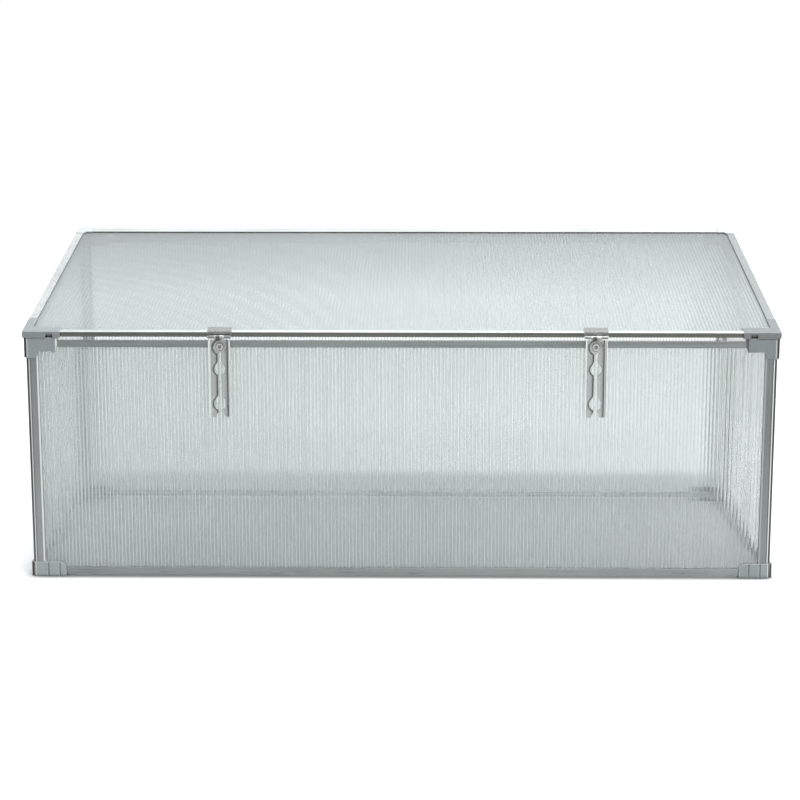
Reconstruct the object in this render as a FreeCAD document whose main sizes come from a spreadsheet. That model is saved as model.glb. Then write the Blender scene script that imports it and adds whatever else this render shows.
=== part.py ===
import FreeCAD, Part
import math
import os
import Sketcher

# Cold frame: a low planting box of twin-wall sheets held in aluminium
# channels, with a sloping lid hinged along its rear edge and two hanging
# keyhole stays at its front.  Millimetres, +Z up, the front faces -Y.
# The origin is on the ground, at the middle of the overall plan.

doc = FreeCAD.newDocument("ColdFrame")
sheet = doc.addObject("Spreadsheet::Sheet", "Dim")

SIZES = [
    ("box_width", 1246.0),      # over the outer faces of the corner posts
    ("box_depth", 548.0),
    ("front_high", 404.5),      # top of the front rail
    ("back_high", 516.5),       # the slope's height at the rear face
    ("plan_shift", 5.165),      # brings the overall plan to the origin
    ("sheet_thick", 4.0),       # twin-wall sheet
    ("sheet_skin", 0.5),
    ("flute_pitch", 6.0),
    ("flute_wide", 5.5),
    ("flutes_front", 203.0),
    ("flutes_side", 86.0),
    ("flutes_lid", 207.0),
    ("wall_thick", 1.5),        # aluminium channel wall
    ("slot_wide", 4.1),
    ("post_leg", 21.0),
    ("post_notch", 4.0),
    ("post_slot", 11.0),
    ("post_tube", 17.0),
    ("nose_round", 3.4),
    ("rail_tall", 11.5),
    ("sill_low", 4.7),          # underside of the bottom rails
    ("sill_tall", 10.7),
    ("foot_high", 25.0),
    ("foot_skin", 2.5),
    ("cap_skin", 2.2),          # moulded top corner's wall
    ("cap_arm", 53.5),
    ("cap_leg", 29.5),
    ("cap_lift_front", 5.0),
    ("cap_lift_rear", 3.0),
    ("lid_width", 1252.0),
    ("lid_reach", 562.0),       # hinge axis to the lid's front edge
    ("lid_gap", 10.2),          # rail plane to the hinge axis
    ("lid_top", 5.6),
    ("lid_low", 4.9),
    ("lid_setback", 5.0),
    ("bead_radius", 4.0),
    ("socket_bore", 4.08),
    ("neck_thick", 2.4),
    ("bead_long", 1120.0),
    ("corner_arm", 62.0),
    ("corner_side", 65.0),
    ("stay_left_x", -299.5),
    ("stay_right_x", 322.0),
    ("stay_wide", 36.0),
    ("stay_thick", 1.5),
    ("stay_lip", 6.5),
    ("stud_drop", 9.9),         # front rail's top to the stud's axis
    ("key_mid", 36.8),
    ("key_low", 95.0),
    ("stay_end", 117.0),
    ("slit_wide", 6.7),
    ("pin_radius", 1.6),
    ("pin_bore", 1.66),
    ("knuckle_radius", 2.9),
    ("stud_radius", 3.0),
    ("stud_hole", 3.3),
]
for row, (word, value) in enumerate(SIZES, start=1):
    sheet.set("A%d" % row, word)
    sheet.set("B%d" % row, repr(value))
    sheet.setAlias("B%d" % row, word)
doc.recompute()
V = FreeCAD.Vector


class Size:
    """A length or angle: the sheet's expression and its present value."""

    def __init__(self, text, value):
        self.text = text
        self.value = float(value)

    def __add__(self, other):
        other = size(other)
        return Size("(%s + %s)" % (self.text, other.text), self.value + other.value)

    def __sub__(self, other):
        other = size(other)
        return Size("(%s - %s)" % (self.text, other.text), self.value - other.value)

    def __mul__(self, other):
        other = size(other)
        return Size("(%s * %s)" % (self.text, other.text), self.value * other.value)

    def __truediv__(self, other):
        other = size(other)
        return Size("(%s / %s)" % (self.text, other.text), self.value / other.value)

    def __radd__(self, other):
        return size(other) + self

    def __rsub__(self, other):
        return size(other) - self

    def __rmul__(self, other):
        return size(other) * self

    def __neg__(self):
        return size(0.0) - self


def size(x):
    if isinstance(x, Size):
        return x
    return Size("(%.6f)" % x if x < 0 else "%.6f" % x, x)


S = {word: Size("Dim." + word, value) for word, value in SIZES}
_run = math.atan((S["back_high"].value - S["front_high"].value) / S["box_depth"].value)
_slope = "atan((Dim.back_high - Dim.front_high) / Dim.box_depth)"
SLOPE = Size(_slope, math.degrees(_run))
COS = Size("cos(%s)" % _slope, math.cos(_run))
SIN = Size("sin(%s)" % _slope, math.sin(_run))
TAN = Size("tan(%s)" % _slope, math.tan(_run))

HALF_W = S["box_width"] / 2
FRONT_Y = S["plan_shift"] - S["box_depth"] / 2
REAR_Y = S["plan_shift"] + S["box_depth"] / 2
WALL = S["wall_thick"]
SLOT = S["slot_wide"]
CHANNEL = WALL * 2 + SLOT
HINGE_Y = REAR_Y - S["neck_thick"] / 2
HINGE_Z = S["back_high"] - TAN * (S["neck_thick"] / 2) + S["lid_gap"] / COS


# ---------------------------------------------------------------- helpers
def make_body(label):
    body = doc.addObject("PartDesign::Body", label)
    body.Label = label
    return body


def base_plane(body, which):
    for item in body.Origin.OriginFeatures:
        if item.Role == which + "_Plane":
            return item
    raise ValueError(which)


def new_sketch(body, which, offset):
    sk = body.newObject("Sketcher::SketchObject", body.Label + "_sketch")
    sk.AttachmentSupport = [(base_plane(body, which), "")]
    sk.MapMode = "FlatFace"
    offset = size(offset)
    sk.AttachmentOffset = FreeCAD.Placement(V(0, 0, offset.value), FreeCAD.Rotation())
    sk.setExpression(".AttachmentOffset.Base.z", offset.text)
    return sk


def fix(sk, geo, pos, x, y):
    for kind, val in (("DistanceX", size(x)), ("DistanceY", size(y))):
        c = sk.addConstraint(Sketcher.Constraint(kind, -1, 1, geo, pos, val.value))
        sk.setExpression("Constraints[%d]" % c, val.text)


def draw_loop(sk, pts):
    start = sk.GeometryCount
    count = len(pts)
    pts = [(size(a), size(b)) for a, b in pts]
    for i in range(count):
        a, b = pts[i], pts[(i + 1) % count]
        sk.addGeometry(Part.LineSegment(V(a[0].value, a[1].value, 0), V(b[0].value, b[1].value, 0)), False)
    for i in range(count):
        sk.addConstraint(Sketcher.Constraint("Coincident", start + i, 2, start + (i + 1) % count, 1))
    for i in range(count):
        fix(sk, start + i, 1, pts[i][0], pts[i][1])


def draw_circle(sk, x, y, r):
    x, y, r = size(x), size(y), size(r)
    g = sk.addGeometry(Part.Circle(V(x.value, y.value, 0), V(0, 0, 1), r.value), False)
    fix(sk, g, 3, x, y)
    c = sk.addConstraint(Sketcher.Constraint("Radius", g, r.value))
    sk.setExpression("Constraints[%d]" % c, r.text)


def feature(body, kind, which, low, high, loops=(), circles=()):
    """Pad or Pocket between two positions along the plane's own axis.

    XY runs along +Z, YZ along +X, XZ along -Y (so its sketch sits at the
    far end and the feature runs back towards the near one)."""
    low, high = size(low), size(high)
    at = -high if which == "XZ" else low
    sk = new_sketch(body, which, at)
    for pts in loops:
        draw_loop(sk, pts)
    for x, y, r in circles:
        draw_circle(sk, x, y, r)
    feat = body.newObject("PartDesign::" + kind, body.Label + "_" + kind.lower())
    feat.Profile = sk
    feat.Length = high.value - low.value
    feat.setExpression("Length", (high - low).text)
    if kind == "Pocket":
        feat.Reversed = True     # a pocket runs against its sketch's normal
    sk.Visibility = False
    body.Tip = feat
    return feat


def pad(body, which, low, high, loops=(), circles=()):
    return feature(body, "Pad", which, low, high, loops, circles)


def pocket(body, which, low, high, loops=(), circles=()):
    doc.recompute()
    before = body.Shape.Volume
    feat = feature(body, "Pocket", which, low, high, loops, circles)
    doc.recompute()
    if not body.Shape.Volume < before - 1e-6:
        raise ValueError("%s: a pocket cuts nothing" % body.Label)
    return feat


def round_edges(body, radius, pick, kind="Fillet"):
    """Fillet or chamfer the edges that pick() chooses."""
    doc.recompute()
    base = body.Tip
    names = ["Edge%d" % (i + 1) for i, e in enumerate(base.Shape.Edges) if pick(e)]
    if not names:
        raise ValueError("%s: no edge to round" % body.Label)
    feat = body.newObject("PartDesign::" + kind, body.Label + "_" + kind.lower())
    feat.Base = (base, names)
    radius = size(radius)
    prop = "Radius" if kind == "Fillet" else "Size"
    setattr(feat, prop, radius.value)
    feat.setExpression(prop, radius.text)
    body.Tip = feat
    doc.recompute()
    if "Invalid" in feat.State or feat.Shape.isNull() or not feat.Shape.isValid():
        raise ValueError("%s: the rounding failed" % body.Label)
    return feat


def seat(body, x=0.0, y=0.0, z=0.0, tilt=None):
    x, y, z = size(x), size(y), size(z)
    rot = FreeCAD.Rotation(V(1, 0, 0), tilt.value if tilt else 0.0)
    body.Placement = FreeCAD.Placement(V(x.value, y.value, z.value), rot)
    body.setExpression(".Placement.Base.x", x.text)
    body.setExpression(".Placement.Base.y", y.text)
    body.setExpression(".Placement.Base.z", z.text)
    if tilt:
        body.setExpression(".Placement.Rotation.Angle", tilt.text)


def straight(e):
    return e.Curve.TypeId == "Part::GeomLine"


def along(e, axis):
    d = e.Vertexes[-1].Point - e.Vertexes[0].Point
    return straight(e) and abs(abs(getattr(d, axis)) - d.Length) < 1e-4


def near(a, b, tol=0.02):
    return abs(a - b) < tol


nodes = []


def keep(body):
    nodes.append(body)
    return body


CORNERS = [("front_left", -1, -1), ("front_right", 1, -1), ("rear_left", -1, 1), ("rear_right", 1, 1)]


# ------------------------------------------------------------ corner posts
# One extrusion in all four corners: two channels at right angles, set out
# past a notched corner with rounded noses, and a square tube inside.
for name, sx, sy in CORNERS:
    def at(a, b, sx=sx, sy=sy):
        return ((HALF_W - a) * sx, S["plan_shift"] + (S["box_depth"] / 2 - b) * sy)
    leg, n, sl, tb = S["post_leg"], S["post_notch"], S["post_slot"], S["post_tube"]
    inner = WALL + SLOT
    body = make_body("post_" + name)
    top = S["front_high"] if sy < 0 else S["back_high"] - TAN * leg - 0.1
    pad(body, "XY", S["sill_low"], top, loops=[
        [at(n, 0), at(leg, 0), at(leg, WALL), at(sl, WALL), at(sl, inner), at(leg, inner),
         at(leg, CHANNEL), at(tb, CHANNEL), at(tb, tb), at(CHANNEL, tb), at(CHANNEL, leg),
         at(inner, leg), at(inner, sl), at(WALL, sl), at(WALL, leg), at(0, leg), at(0, n), at(n, n)],
        [at(CHANNEL, CHANNEL), at(tb - WALL, CHANNEL), at(tb - WALL, tb - WALL), at(CHANNEL, tb - WALL)]])
    p1, p2 = at(n, 0), at(0, n)
    spots = [(p1[0].value, p1[1].value), (p2[0].value, p2[1].value)]
    round_edges(body, S["nose_round"], lambda e, spots=spots: along(e, "z") and any(
        near(e.Vertexes[0].Point.x, u) and near(e.Vertexes[0].Point.y, w) for u, w in spots))
    keep(body)

# ------------------------------------------------------------------- rails
leg = S["post_leg"]
rail_x = HALF_W - leg


def channel(edge, inward, low, high, closed_high):
    """Channel section: edge is its outer face, inward the direction in."""
    a = edge
    b = edge + WALL * inward
    c = edge + (WALL + SLOT) * inward
    d = edge + CHANNEL * inward
    if closed_high:
        web = high - WALL
        return [(a, low), (b, low), (b, web), (c, web), (c, low), (d, low), (d, high), (a, high)]
    web = low + WALL
    return [(a, low), (d, low), (d, high), (c, high), (c, web), (b, web), (b, high), (a, high)]


sill_top = S["sill_low"] + S["sill_tall"]
for name, edge, inward in (("front", FRONT_Y, 1), ("rear", REAR_Y, -1)):
    body = make_body("rail_%s_bottom" % name)
    pad(body, "YZ", -rail_x, rail_x, loops=[channel(edge, inward, S["sill_low"], sill_top, False)])
    keep(body)
for name, sx in (("left", -1), ("right", 1)):
    body = make_body("rail_%s_bottom" % name)
    pad(body, "XZ", FRONT_Y + leg, REAR_Y - leg,
        loops=[channel(HALF_W * sx, -sx, S["sill_low"], sill_top, False)])
    keep(body)

# front top rail, notched under each stud
stud_z = S["front_high"] - S["stud_drop"]
body = make_body("rail_front_top")
pad(body, "YZ", -rail_x, rail_x,
    loops=[channel(FRONT_Y, 1, S["front_high"] - S["rail_tall"], S["front_high"], True)])
pocket(body, "XZ", FRONT_Y - 1, FRONT_Y + CHANNEL + 1,
       circles=[(S["stay_left_x"], stud_z, S["stud_hole"]), (S["stay_right_x"], stud_z, S["stud_hole"])])
keep(body)

# rear top rail with the hinge's bead standing on a neck along its rear face
rear_top = S["back_high"] - TAN * CHANNEL
body = make_body("rail_rear_top")
pad(body, "YZ", -rail_x, rail_x,
    loops=[channel(REAR_Y, -1, rear_top - S["rail_tall"], rear_top, True)])
half_bead = S["bead_long"] / 2
pad(body, "YZ", -half_bead, half_bead, loops=[[
    (REAR_Y - S["neck_thick"], rear_top - 0.5), (REAR_Y, rear_top - 0.5),
    (REAR_Y, HINGE_Z - 1.0), (REAR_Y - S["neck_thick"], HINGE_Z - 1.0)]])
pad(body, "YZ", -half_bead, half_bead, circles=[(HINGE_Y, HINGE_Z, S["bead_radius"])])
keep(body)

# side top rails, tilted along the slope
slope_in = leg / COS + 0.3
slope_out = (S["box_depth"] - leg - S["rail_tall"] * SIN) / COS - 0.3
for name, sx in (("left", -1), ("right", 1)):
    body = make_body("rail_%s_top" % name)
    pad(body, "XZ", slope_in, slope_out, loops=[channel(HALF_W * sx, -sx, -S["rail_tall"], size(0.0), True)])
    seat(body, 0.0, FRONT_Y, S["front_high"], SLOPE)
    keep(body)

# ------------------------------------------------------------ wall sheets
# Twin-wall sheet: two skins joined by upright webs, open at both edges.
sheet_in = WALL + (SLOT - S["sheet_thick"]) / 2
cell_in = sheet_in + S["sheet_skin"]
cell_out = sheet_in + S["sheet_thick"] - S["sheet_skin"]
edge_gap = S["post_slot"] + 0.5
sheet_low = S["sill_low"] + WALL + 0.3


def flutes(body, axis, count, first_cell, low, high):
    """One flute cut through, then repeated at the pitch along an axis."""
    feat = pocket(body, first_cell[0], low, high, loops=[first_cell[1]])
    pattern = body.newObject("PartDesign::LinearPattern", body.Label + "_flutes")
    pattern.Originals = [feat]
    for item in body.Origin.OriginFeatures:
        if item.Role == axis + "_Axis":
            pattern.Direction = (item, [""])
    pattern.Mode = "Spacing" if "Spacing" in pattern.getEnumerationsOfProperty("Mode") else pattern.Mode
    total = S["flute_pitch"] * (S[count] - 1)
    if pattern.Mode == "Spacing":
        pattern.Offset = S["flute_pitch"].value
        pattern.setExpression("Offset", S["flute_pitch"].text)
    else:
        pattern.Length = total.value
        pattern.setExpression("Length", total.text)
    pattern.Occurrences = int(S[count].value)
    pattern.setExpression("Occurrences", S[count].text)
    body.Tip = pattern
    doc.recompute()
    return pattern


def rect(a, b, c, d):
    return [(a, c), (b, c), (b, d), (a, d)]


half_sheet = HALF_W - edge_gap
cell_start = -(S["flute_pitch"] * S["flutes_front"]) / 2 + (S["flute_pitch"] - S["flute_wide"]) / 2
for name, edge, inward, sheet_top in (
        ("front", FRONT_Y, 1, S["front_high"] - WALL - 0.5),
        ("rear", REAR_Y, -1, rear_top - WALL - 0.5)):
    body = make_body("panel_" + name)
    pad(body, "XY", sheet_low, sheet_top,
        loops=[rect(-half_sheet, half_sheet, edge + sheet_in * inward,
                    edge + (sheet_in + S["sheet_thick"]) * inward)])
    flutes(body, "X", "flutes_front", ("XY", rect(
        cell_start, cell_start + S["flute_wide"], edge + cell_in * inward, edge + cell_out * inward)),
        sheet_low - 1, sheet_top + 1)
    if name == "front":
        pocket(body, "XZ", FRONT_Y - 1, FRONT_Y + CHANNEL + 1, circles=[
            (S["stay_left_x"], stud_z, S["stud_hole"]), (S["stay_right_x"], stud_z, S["stud_hole"])])
    keep(body)

side_half = S["box_depth"] / 2 - edge_gap
side_first = S["plan_shift"] - (S["flute_pitch"] * S["flutes_side"]) / 2 + (S["flute_pitch"] - S["flute_wide"]) / 2
for name, sx in (("left", -1), ("right", 1)):
    body = make_body("panel_" + name)
    y0, y1 = S["plan_shift"] - side_half, S["plan_shift"] + side_half
    x0, x1 = (HALF_W - sheet_in) * sx, (HALF_W - sheet_in - S["sheet_thick"]) * sx
    pad(body, "XY", sheet_low, S["back_high"], loops=[rect(x0, x1, y0, y1)])
    flutes(body, "Y", "flutes_side", ("XY", rect(
        (HALF_W - cell_in) * sx, (HALF_W - cell_out) * sx, side_first, side_first + S["flute_wide"])),
        sheet_low - 1, S["back_high"] + 1)
    drop = (WALL + 0.5) / COS

    def slope_z(y):
        return S["front_high"] + (y - FRONT_Y) * TAN - drop
    lo_x, hi_x = (x0, x1) if sx < 0 else (x1, x0)
    pocket(body, "YZ", lo_x - 1, hi_x + 1, loops=[[
        (y0 - 2, slope_z(y0 - 2)), (y1 + 2, slope_z(y1 + 2)), (y1 + 2, S["back_high"] + 2), (y0 - 2, S["back_high"] + 2)]])
    keep(body)

# ------------------------------------------------- moulded top box corners
# Each wraps the post's two faces, follows its notch, and caps the rails.
skin = S["cap_skin"]
arm = S["cap_arm"]
notch = S["post_notch"]
notch_in = notch - 2.0
for name, sx, sy in CORNERS:
    def ax(a, sx=sx):
        return (HALF_W - a) * sx

    def by(b, sy=sy):
        return S["plan_shift"] + (S["box_depth"] / 2 - b) * sy

    def span(p, r):
        return (p, r) if p.value < r.value else (r, p)
    fall = TAN if sy < 0 else -TAN
    ridge = S["front_high"] if sy < 0 else S["back_high"]
    lift = S["cap_lift_front"] if sy < 0 else S["cap_lift_rear"]
    rail_at = S["front_high"] if sy < 0 else rear_top

    def plane_z(b):
        return ridge + b * fall
    body = make_body("corner_" + name)
    foot_z = ridge - S["cap_leg"]
    outer_top = plane_z(-skin) + lift
    y_lo, y_hi = span(by(-skin), by(size(0.0)))
    # plate on the front or rear face
    pad(body, "XZ", y_lo, y_hi, loops=[[
        (ax(notch_in), foot_z), (ax(size(16.5)), foot_z), (ax(size(19.5)), foot_z + 2.0),
        (ax(size(21.5)), foot_z + 8.5), (ax(size(24.5)), foot_z + 11.0), (ax(arm - 2.6), foot_z + 11.0),
        (ax(arm), foot_z + 23.0), (ax(arm), outer_top), (ax(notch_in), outer_top)]])
    # wall that follows the post's notch
    x_lo, x_hi = span(ax(-skin), ax(size(0.0)))
    pad(body, "XY", foot_z, rail_at, loops=[[
        (ax(notch_in), by(-skin)), (ax(notch), by(-skin)), (ax(notch), by(notch)),
        (ax(-skin), by(notch)), (ax(-skin), by(notch_in)), (ax(notch_in), by(notch_in))]])
    # plate on the side face, its arm along the slope
    pad(body, "YZ", x_lo, x_hi, loops=[[
        (by(notch_in), foot_z), (by(size(16.5)), foot_z), (by(size(19.5)), foot_z + 2.0),
        (by(size(21.5)), plane_z(size(21.5)) - 21.0), (by(size(24.5)), plane_z(size(24.5)) - 18.5),
        (by(arm - 2.6), plane_z(arm - 2.6) - 18.5), (by(arm), plane_z(arm) - 6.5),
        (by(arm), plane_z(arm) + lift), (by(notch_in), plane_z(notch_in) + lift)]])
    # top of the front or rear arm
    x_lo, x_hi = span(ax(notch_in), ax(arm))
    pad(body, "YZ", x_lo, x_hi, loops=[[
        (by(-skin), rail_at), (by(size(11.0)), rail_at),
        (by(size(11.0)), plane_z(size(11.0)) + lift), (by(-skin), plane_z(-skin) + lift)]])
    # top of the side arm
    x_lo, x_hi = span(ax(-skin), ax(size(13.0)))
    pad(body, "YZ", x_lo, x_hi, loops=[[
        (by(notch_in), plane_z(notch_in)), (by(arm), plane_z(arm)),
        (by(arm), plane_z(arm) + lift), (by(notch_in), plane_z(notch_in) + lift)]])
    # rounded outer edges of both plates, their ends and corners
    doc.recompute()
    ym = by(-skin).value
    xm = ax(-skin).value
    front_z = (foot_z.value + 1.0, 9999.0)

    def outer(e, ym=ym, xm=xm):
        pts = [v.Point for v in e.Vertexes]
        on_front = all(near(p.y, ym) for p in pts)
        on_side = all(near(p.x, xm) for p in pts)
        return straight(e) and (on_front or on_side) and e.Length > 1.0
    round_edges(body, size(0.7), outer)
    keep(body)

# ------------------------------------------------------------------- feet
# The same moulding in each corner, turned, so its long and short arms
# change places from one side to the other.
LONG_ARM, SHORT_ARM = (56.6, 26.4, 45.8), (53.6, 17.9, 36.9)
for name, sx, sy in CORNERS:
    def ax(a, sx=sx):
        return (HALF_W - a) * sx

    def by(b, sy=sy):
        return S["plan_shift"] + (S["box_depth"] / 2 - b) * sy

    def span(p, r):
        return (p, r) if p.value < r.value else (r, p)
    fs = S["foot_skin"]
    hi = S["foot_high"]
    across, beside = (LONG_ARM, SHORT_ARM) if sx * sy > 0 else (SHORT_ARM, LONG_ARM)
    body = make_body("foot_" + name)
    pad(body, "XY", size(0.0), S["sill_low"], loops=[[
        (ax(notch_in), by(-fs)), (ax(size(across[0])), by(-fs)), (ax(size(across[0])), by(size(13.0))),
        (ax(size(19.0)), by(size(13.0))), (ax(size(13.0)), by(size(19.0))), (ax(size(13.0)), by(size(beside[0]))),
        (ax(-fs), by(size(beside[0]))), (ax(-fs), by(notch_in)), (ax(notch_in), by(notch_in))]])
    pad(body, "XY", size(0.0), hi, loops=[[
        (ax(notch_in), by(-fs)), (ax(notch), by(-fs)), (ax(notch), by(notch)),
        (ax(-fs), by(notch)), (ax(-fs), by(notch_in)), (ax(notch_in), by(notch_in))]])
    y_lo, y_hi = span(by(-fs), by(size(0.0)))
    pad(body, "XZ", y_lo, y_hi, loops=[[
        (ax(notch_in), size(0.0)), (ax(size(across[0])), size(0.0)), (ax(size(across[0])), hi - 9.0),
        (ax(size(across[0] - 2.2)), hi - 4.0), (ax(size(across[0] - 6.5)), hi - 1.4),
        (ax(size(across[0] - 12.0)), hi), (ax(notch_in), hi)]])
    x_lo, x_hi = span(ax(-fs), ax(size(0.0)))
    pad(body, "YZ", x_lo, x_hi, loops=[[
        (by(notch_in), size(0.0)), (by(size(beside[0])), size(0.0)), (by(size(beside[0])), hi - 9.0),
        (by(size(beside[0] - 2.2)), hi - 4.0), (by(size(beside[0] - 6.5)), hi - 1.4),
        (by(size(beside[0] - 12.0)), hi), (by(notch_in), hi)]])
    # upright grooves in both faces
    for g in across[1:]:
        u0, u1 = span(ax(size(g - 1.4)), ax(size(g + 1.4)))
        w0, w1 = span(by(-fs - 1.0), by(-fs + 1.4))
        pocket(body, "XY", size(-1.0), hi + 1, loops=[rect(u0, u1, w0, w1)])
    for g in beside[1:]:
        w0, w1 = span(by(size(g - 1.4)), by(size(g + 1.4)))
        u0, u1 = span(ax(-fs - 1.0), ax(-fs + 1.4))
        pocket(body, "XY", size(-1.0), hi + 1, loops=[rect(u0, u1, w0, w1)])
    ym, xm = by(-fs).value, ax(-fs).value

    def outer(e, ym=ym, xm=xm):
        pts = [v.Point for v in e.Vertexes]
        on_front = all(near(p.y, ym) for p in pts)
        on_side = all(near(p.x, xm) for p in pts)
        low_down = all(p.z < 0.01 for p in pts)
        return straight(e) and (on_front or on_side) and e.Length > 1.0 and not low_down
    round_edges(body, size(0.6), outer)
    keep(body)

# --------------------------------------------------------------------- lid
# Lid pieces share one frame: its origin on the hinge axis, y up the slope.
LID_W = S["lid_width"] / 2
top, low = S["lid_top"], -S["lid_low"]
reach = S["lid_reach"]
lip = WALL
slot_top = top - lip
slot_low = slot_top - SLOT
shelf = slot_low - lip


def on_lid(body):
    seat(body, 0.0, HINGE_Y, HINGE_Z, SLOPE)
    return keep(body)


# front rail: a nose along the top with its face set back beneath
back = S["lid_setback"]
body = make_body("lid_rail_front")
u = -reach
front_end = LID_W - S["corner_arm"]
pad(body, "YZ", -front_end, front_end, loops=[[
    (u, top), (u, top - 2.2), (u + back, top - 2.8), (u + back, low), (u + back + 3.0, low),
    (u + back + 3.0, low + 1.2), (u + back + 1.5, low + 1.2), (u + back + 1.5, shelf),
    (u + 15.0, shelf), (u + 15.0, slot_low), (u + back + 1.5, slot_low), (u + back + 1.5, slot_top),
    (u + 9.5, slot_top), (u + 9.5, top)]])
round_edges(body, size(0.7), lambda e: along(e, "x") and near(e.Vertexes[0].Point.y, -S["lid_reach"].value))
on_lid(body)

# side rails
side_back = size(-30.0)
for name, sx in (("left", -1), ("right", 1)):
    body = make_body("lid_rail_" + name)

    def o(d, sx=sx):
        return (LID_W - d) * sx
    pad(body, "XZ", -reach + S["corner_side"], side_back, loops=[[
        (o(0.0), top), (o(0.0), low), (o(4.0), low), (o(4.0), low + 1.2), (o(1.5), low + 1.2),
        (o(1.5), shelf), (o(14.0), shelf), (o(14.0), slot_low), (o(1.5), slot_low), (o(1.5), slot_top),
        (o(11.0), slot_top), (o(11.0), slot_top + 0.7), (o(14.0), slot_top + 0.7), (o(14.0), top)]])
    round_edges(body, size(0.8), lambda e, sx=sx: along(e, "y") and near(abs(e.Vertexes[0].Point.x), LID_W.value)
                and near(e.Vertexes[0].Point.z, top.value))
    on_lid(body)

# rear rail: a socket that wraps the bead and is open below and behind
body = make_body("lid_rail_rear")
rear_end = LID_W - 30.0
pad(body, "YZ", -rear_end, rear_end, circles=[(size(0.0), size(0.0), S["socket_bore"]), (size(0.0), size(0.0), top)])
mouth = [(size(0.0), size(0.0))]
for deg in (236.0, 266.0, 296.0, 326.0, 355.6):
    mouth.append((size(10.0 * math.cos(math.radians(deg))), size(10.0 * math.sin(math.radians(deg)))))
pocket(body, "YZ", -rear_end - 1, rear_end + 1, loops=[mouth])
pad(body, "YZ", -rear_end, rear_end, loops=[[
    (size(-20.0), top), (size(0.0), top), (size(0.0), slot_top + 0.02), (size(-5.2), slot_top + 0.02),
    (size(-5.2), low), (size(-9.0), low), (size(-9.0), low + 1.2), (size(-6.9), low + 1.2),
    (size(-6.9), shelf), (size(-20.0), shelf), (size(-20.0), slot_low), (size(-6.9), slot_low),
    (size(-6.9), slot_top), (size(-20.0), slot_top)]])
on_lid(body)

# lid sheet, flutes running down the slope
body = make_body("lid_panel")
p0, p1 = -reach + S["lid_setback"] + 2.0, size(-7.3)
s0 = slot_low + (SLOT - S["sheet_thick"]) / 2
lid_half = LID_W - 2.0
pad(body, "XZ", p0, p1, loops=[rect(-lid_half, lid_half, s0, s0 + S["sheet_thick"])])
lid_first = -(S["flute_pitch"] * S["flutes_lid"]) / 2 + (S["flute_pitch"] - S["flute_wide"]) / 2
flutes(body, "X", "flutes_lid", ("XZ", rect(
    lid_first, lid_first + S["flute_wide"], s0 + S["sheet_skin"], s0 + S["sheet_thick"] - S["sheet_skin"])),
    p0 - 1, p1 + 1)
on_lid(body)

# moulded lid corners
proud = size(0.6)
for name, sx in (("left", -1), ("right", 1)):
    def lx(d, sx=sx):
        return (LID_W - d) * sx
    body = make_body("lid_corner_front_" + name)
    pad(body, "XY", low - 0.2, top + proud, loops=[[
        (lx(-0.6), -reach - 0.6), (lx(-0.6), -reach + S["corner_side"]), (lx(14.4), -reach + S["corner_side"]),
        (lx(14.4), -reach + 26.0), (lx(18.4), -reach + 22.0), (lx(S["corner_arm"]), -reach + 22.0),
        (lx(S["corner_arm"]), -reach - 0.6)]])
    # slot for the sheet's corner
    c0, c1 = (lx(size(200.0)), lx(size(1.8))) if sx > 0 else (lx(size(1.8)), lx(size(200.0)))
    pocket(body, "XY", slot_low, slot_top, loops=[rect(c0, c1, p0 - 0.3, -reach + 200.0)])
    # screw recess in the front face, and its pilot
    r0, r1 = (lx(size(49.7)), lx(size(37.7))) if sx > 0 else (lx(size(37.7)), lx(size(49.7)))
    pocket(body, "XZ", -reach - 2.0, -reach + 1.2, loops=[rect(r0, r1, low - 1.0, size(2.6))])
    pocket(body, "XZ", -reach - 2.0, -reach + 6.0, loops=[rect(r0, r1, low - 1.0, size(-0.7))])
    pocket(body, "XZ", -reach, -reach + 19.0, circles=[(lx(size(43.7)), low + 2.1, size(1.3))])
    round_edges(body, size(1.2), lambda e, sx=sx: (
        (along(e, "x") and near(e.Vertexes[0].Point.y, -S["lid_reach"].value - 0.6) and near(e.Vertexes[0].Point.z, 6.2))
        or (along(e, "y") and near(abs(e.Vertexes[0].Point.x), LID_W.value + 0.6) and near(e.Vertexes[0].Point.z, 6.2))
        or (along(e, "z") and near(abs(e.Vertexes[0].Point.x), LID_W.value + 0.6)
            and near(e.Vertexes[0].Point.y, -S["lid_reach"].value - 0.6))))
    on_lid(body)
    body = make_body("lid_corner_rear_" + name)
    pad(body, "XY", low, top + proud, loops=[[
        (lx(-0.6), size(3.0)), (lx(-0.6), side_back), (lx(14.4), side_back), (lx(18.4), size(-22.0)),
        (lx(30.0), size(-22.0)), (lx(30.0), size(3.0))]])
    c0, c1 = (lx(size(200.0)), lx(size(1.8))) if sx > 0 else (lx(size(1.8)), lx(size(200.0)))
    pocket(body, "XY", slot_low, slot_top, loops=[rect(c0, c1, size(-200.0), p1 + 0.3)])
    round_edges(body, size(1.2), lambda e, sx=sx: (
        (along(e, "x") and near(e.Vertexes[0].Point.y, 3.0) and near(e.Vertexes[0].Point.z, 6.2))
        or (along(e, "y") and near(abs(e.Vertexes[0].Point.x), LID_W.value + 0.6) and near(e.Vertexes[0].Point.z, 6.2))
        or (along(e, "z") and near(abs(e.Vertexes[0].Point.x), LID_W.value + 0.6) and near(e.Vertexes[0].Point.y, 3.0))))
    on_lid(body)

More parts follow.
